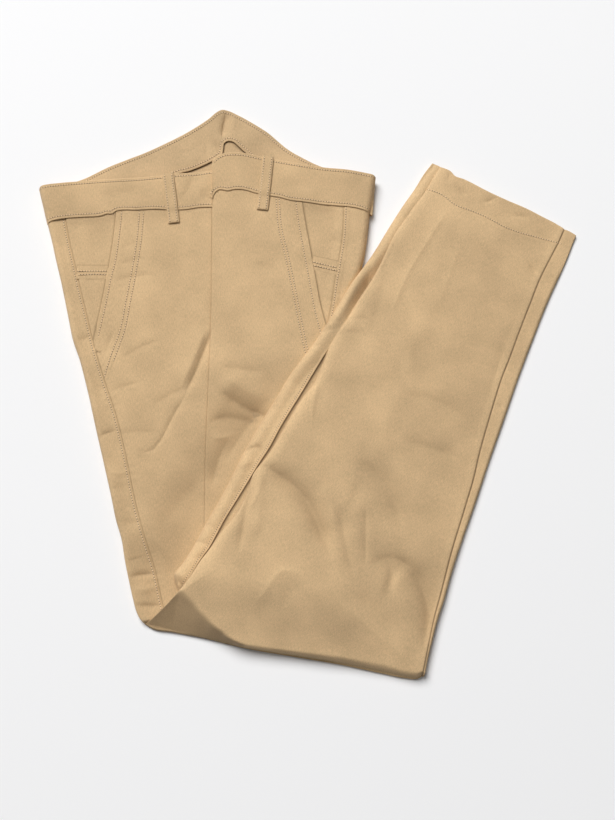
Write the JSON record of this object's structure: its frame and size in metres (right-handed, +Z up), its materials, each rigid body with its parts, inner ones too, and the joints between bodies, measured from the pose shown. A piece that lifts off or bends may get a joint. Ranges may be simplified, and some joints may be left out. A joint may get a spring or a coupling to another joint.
{
  "type": "chino trousers, folded",
  "caption": "Cotton twill chino trousers lying folded: seat and thighs front side up, both legs folded up across the thighs along one line, with slanted pockets, waistband and belt loops.",
  "frame": {"origin": "on the surface it lies on, under the middle of the folded garment's outline", "axes": "+Z up from the surface, +Y from the folded edge towards the waist, +X towards the hems"},
  "size_m": [0.6306, 0.6695, 0.035],
  "materials": {
    "twill": "khaki cotton twill with a soft matt face and tone-on-tone topstitching",
    "twill_inside": "the inner face of the same twill, flat and matt"
  },
  "bodies": {
    "root": {"right_front": "twill", "left_front": "twill", "right_back": "twill", "left_back": "twill", "right_leg_back": "twill", "right_leg_front": "twill", "left_leg_back": "twill", "belt_loop_right": "twill", "belt_loop_left": "twill", "waistband_right_front": "twill", "waistband_left_front": "twill", "pocket_facing_right": "twill", "pocket_facing_left": "twill", "facing_strip_right": "twill", "facing_strip_left": "twill", "waistband_back": "twill_inside", "hidden_layers": "twill_inside"}
  },
  "joints": []
}
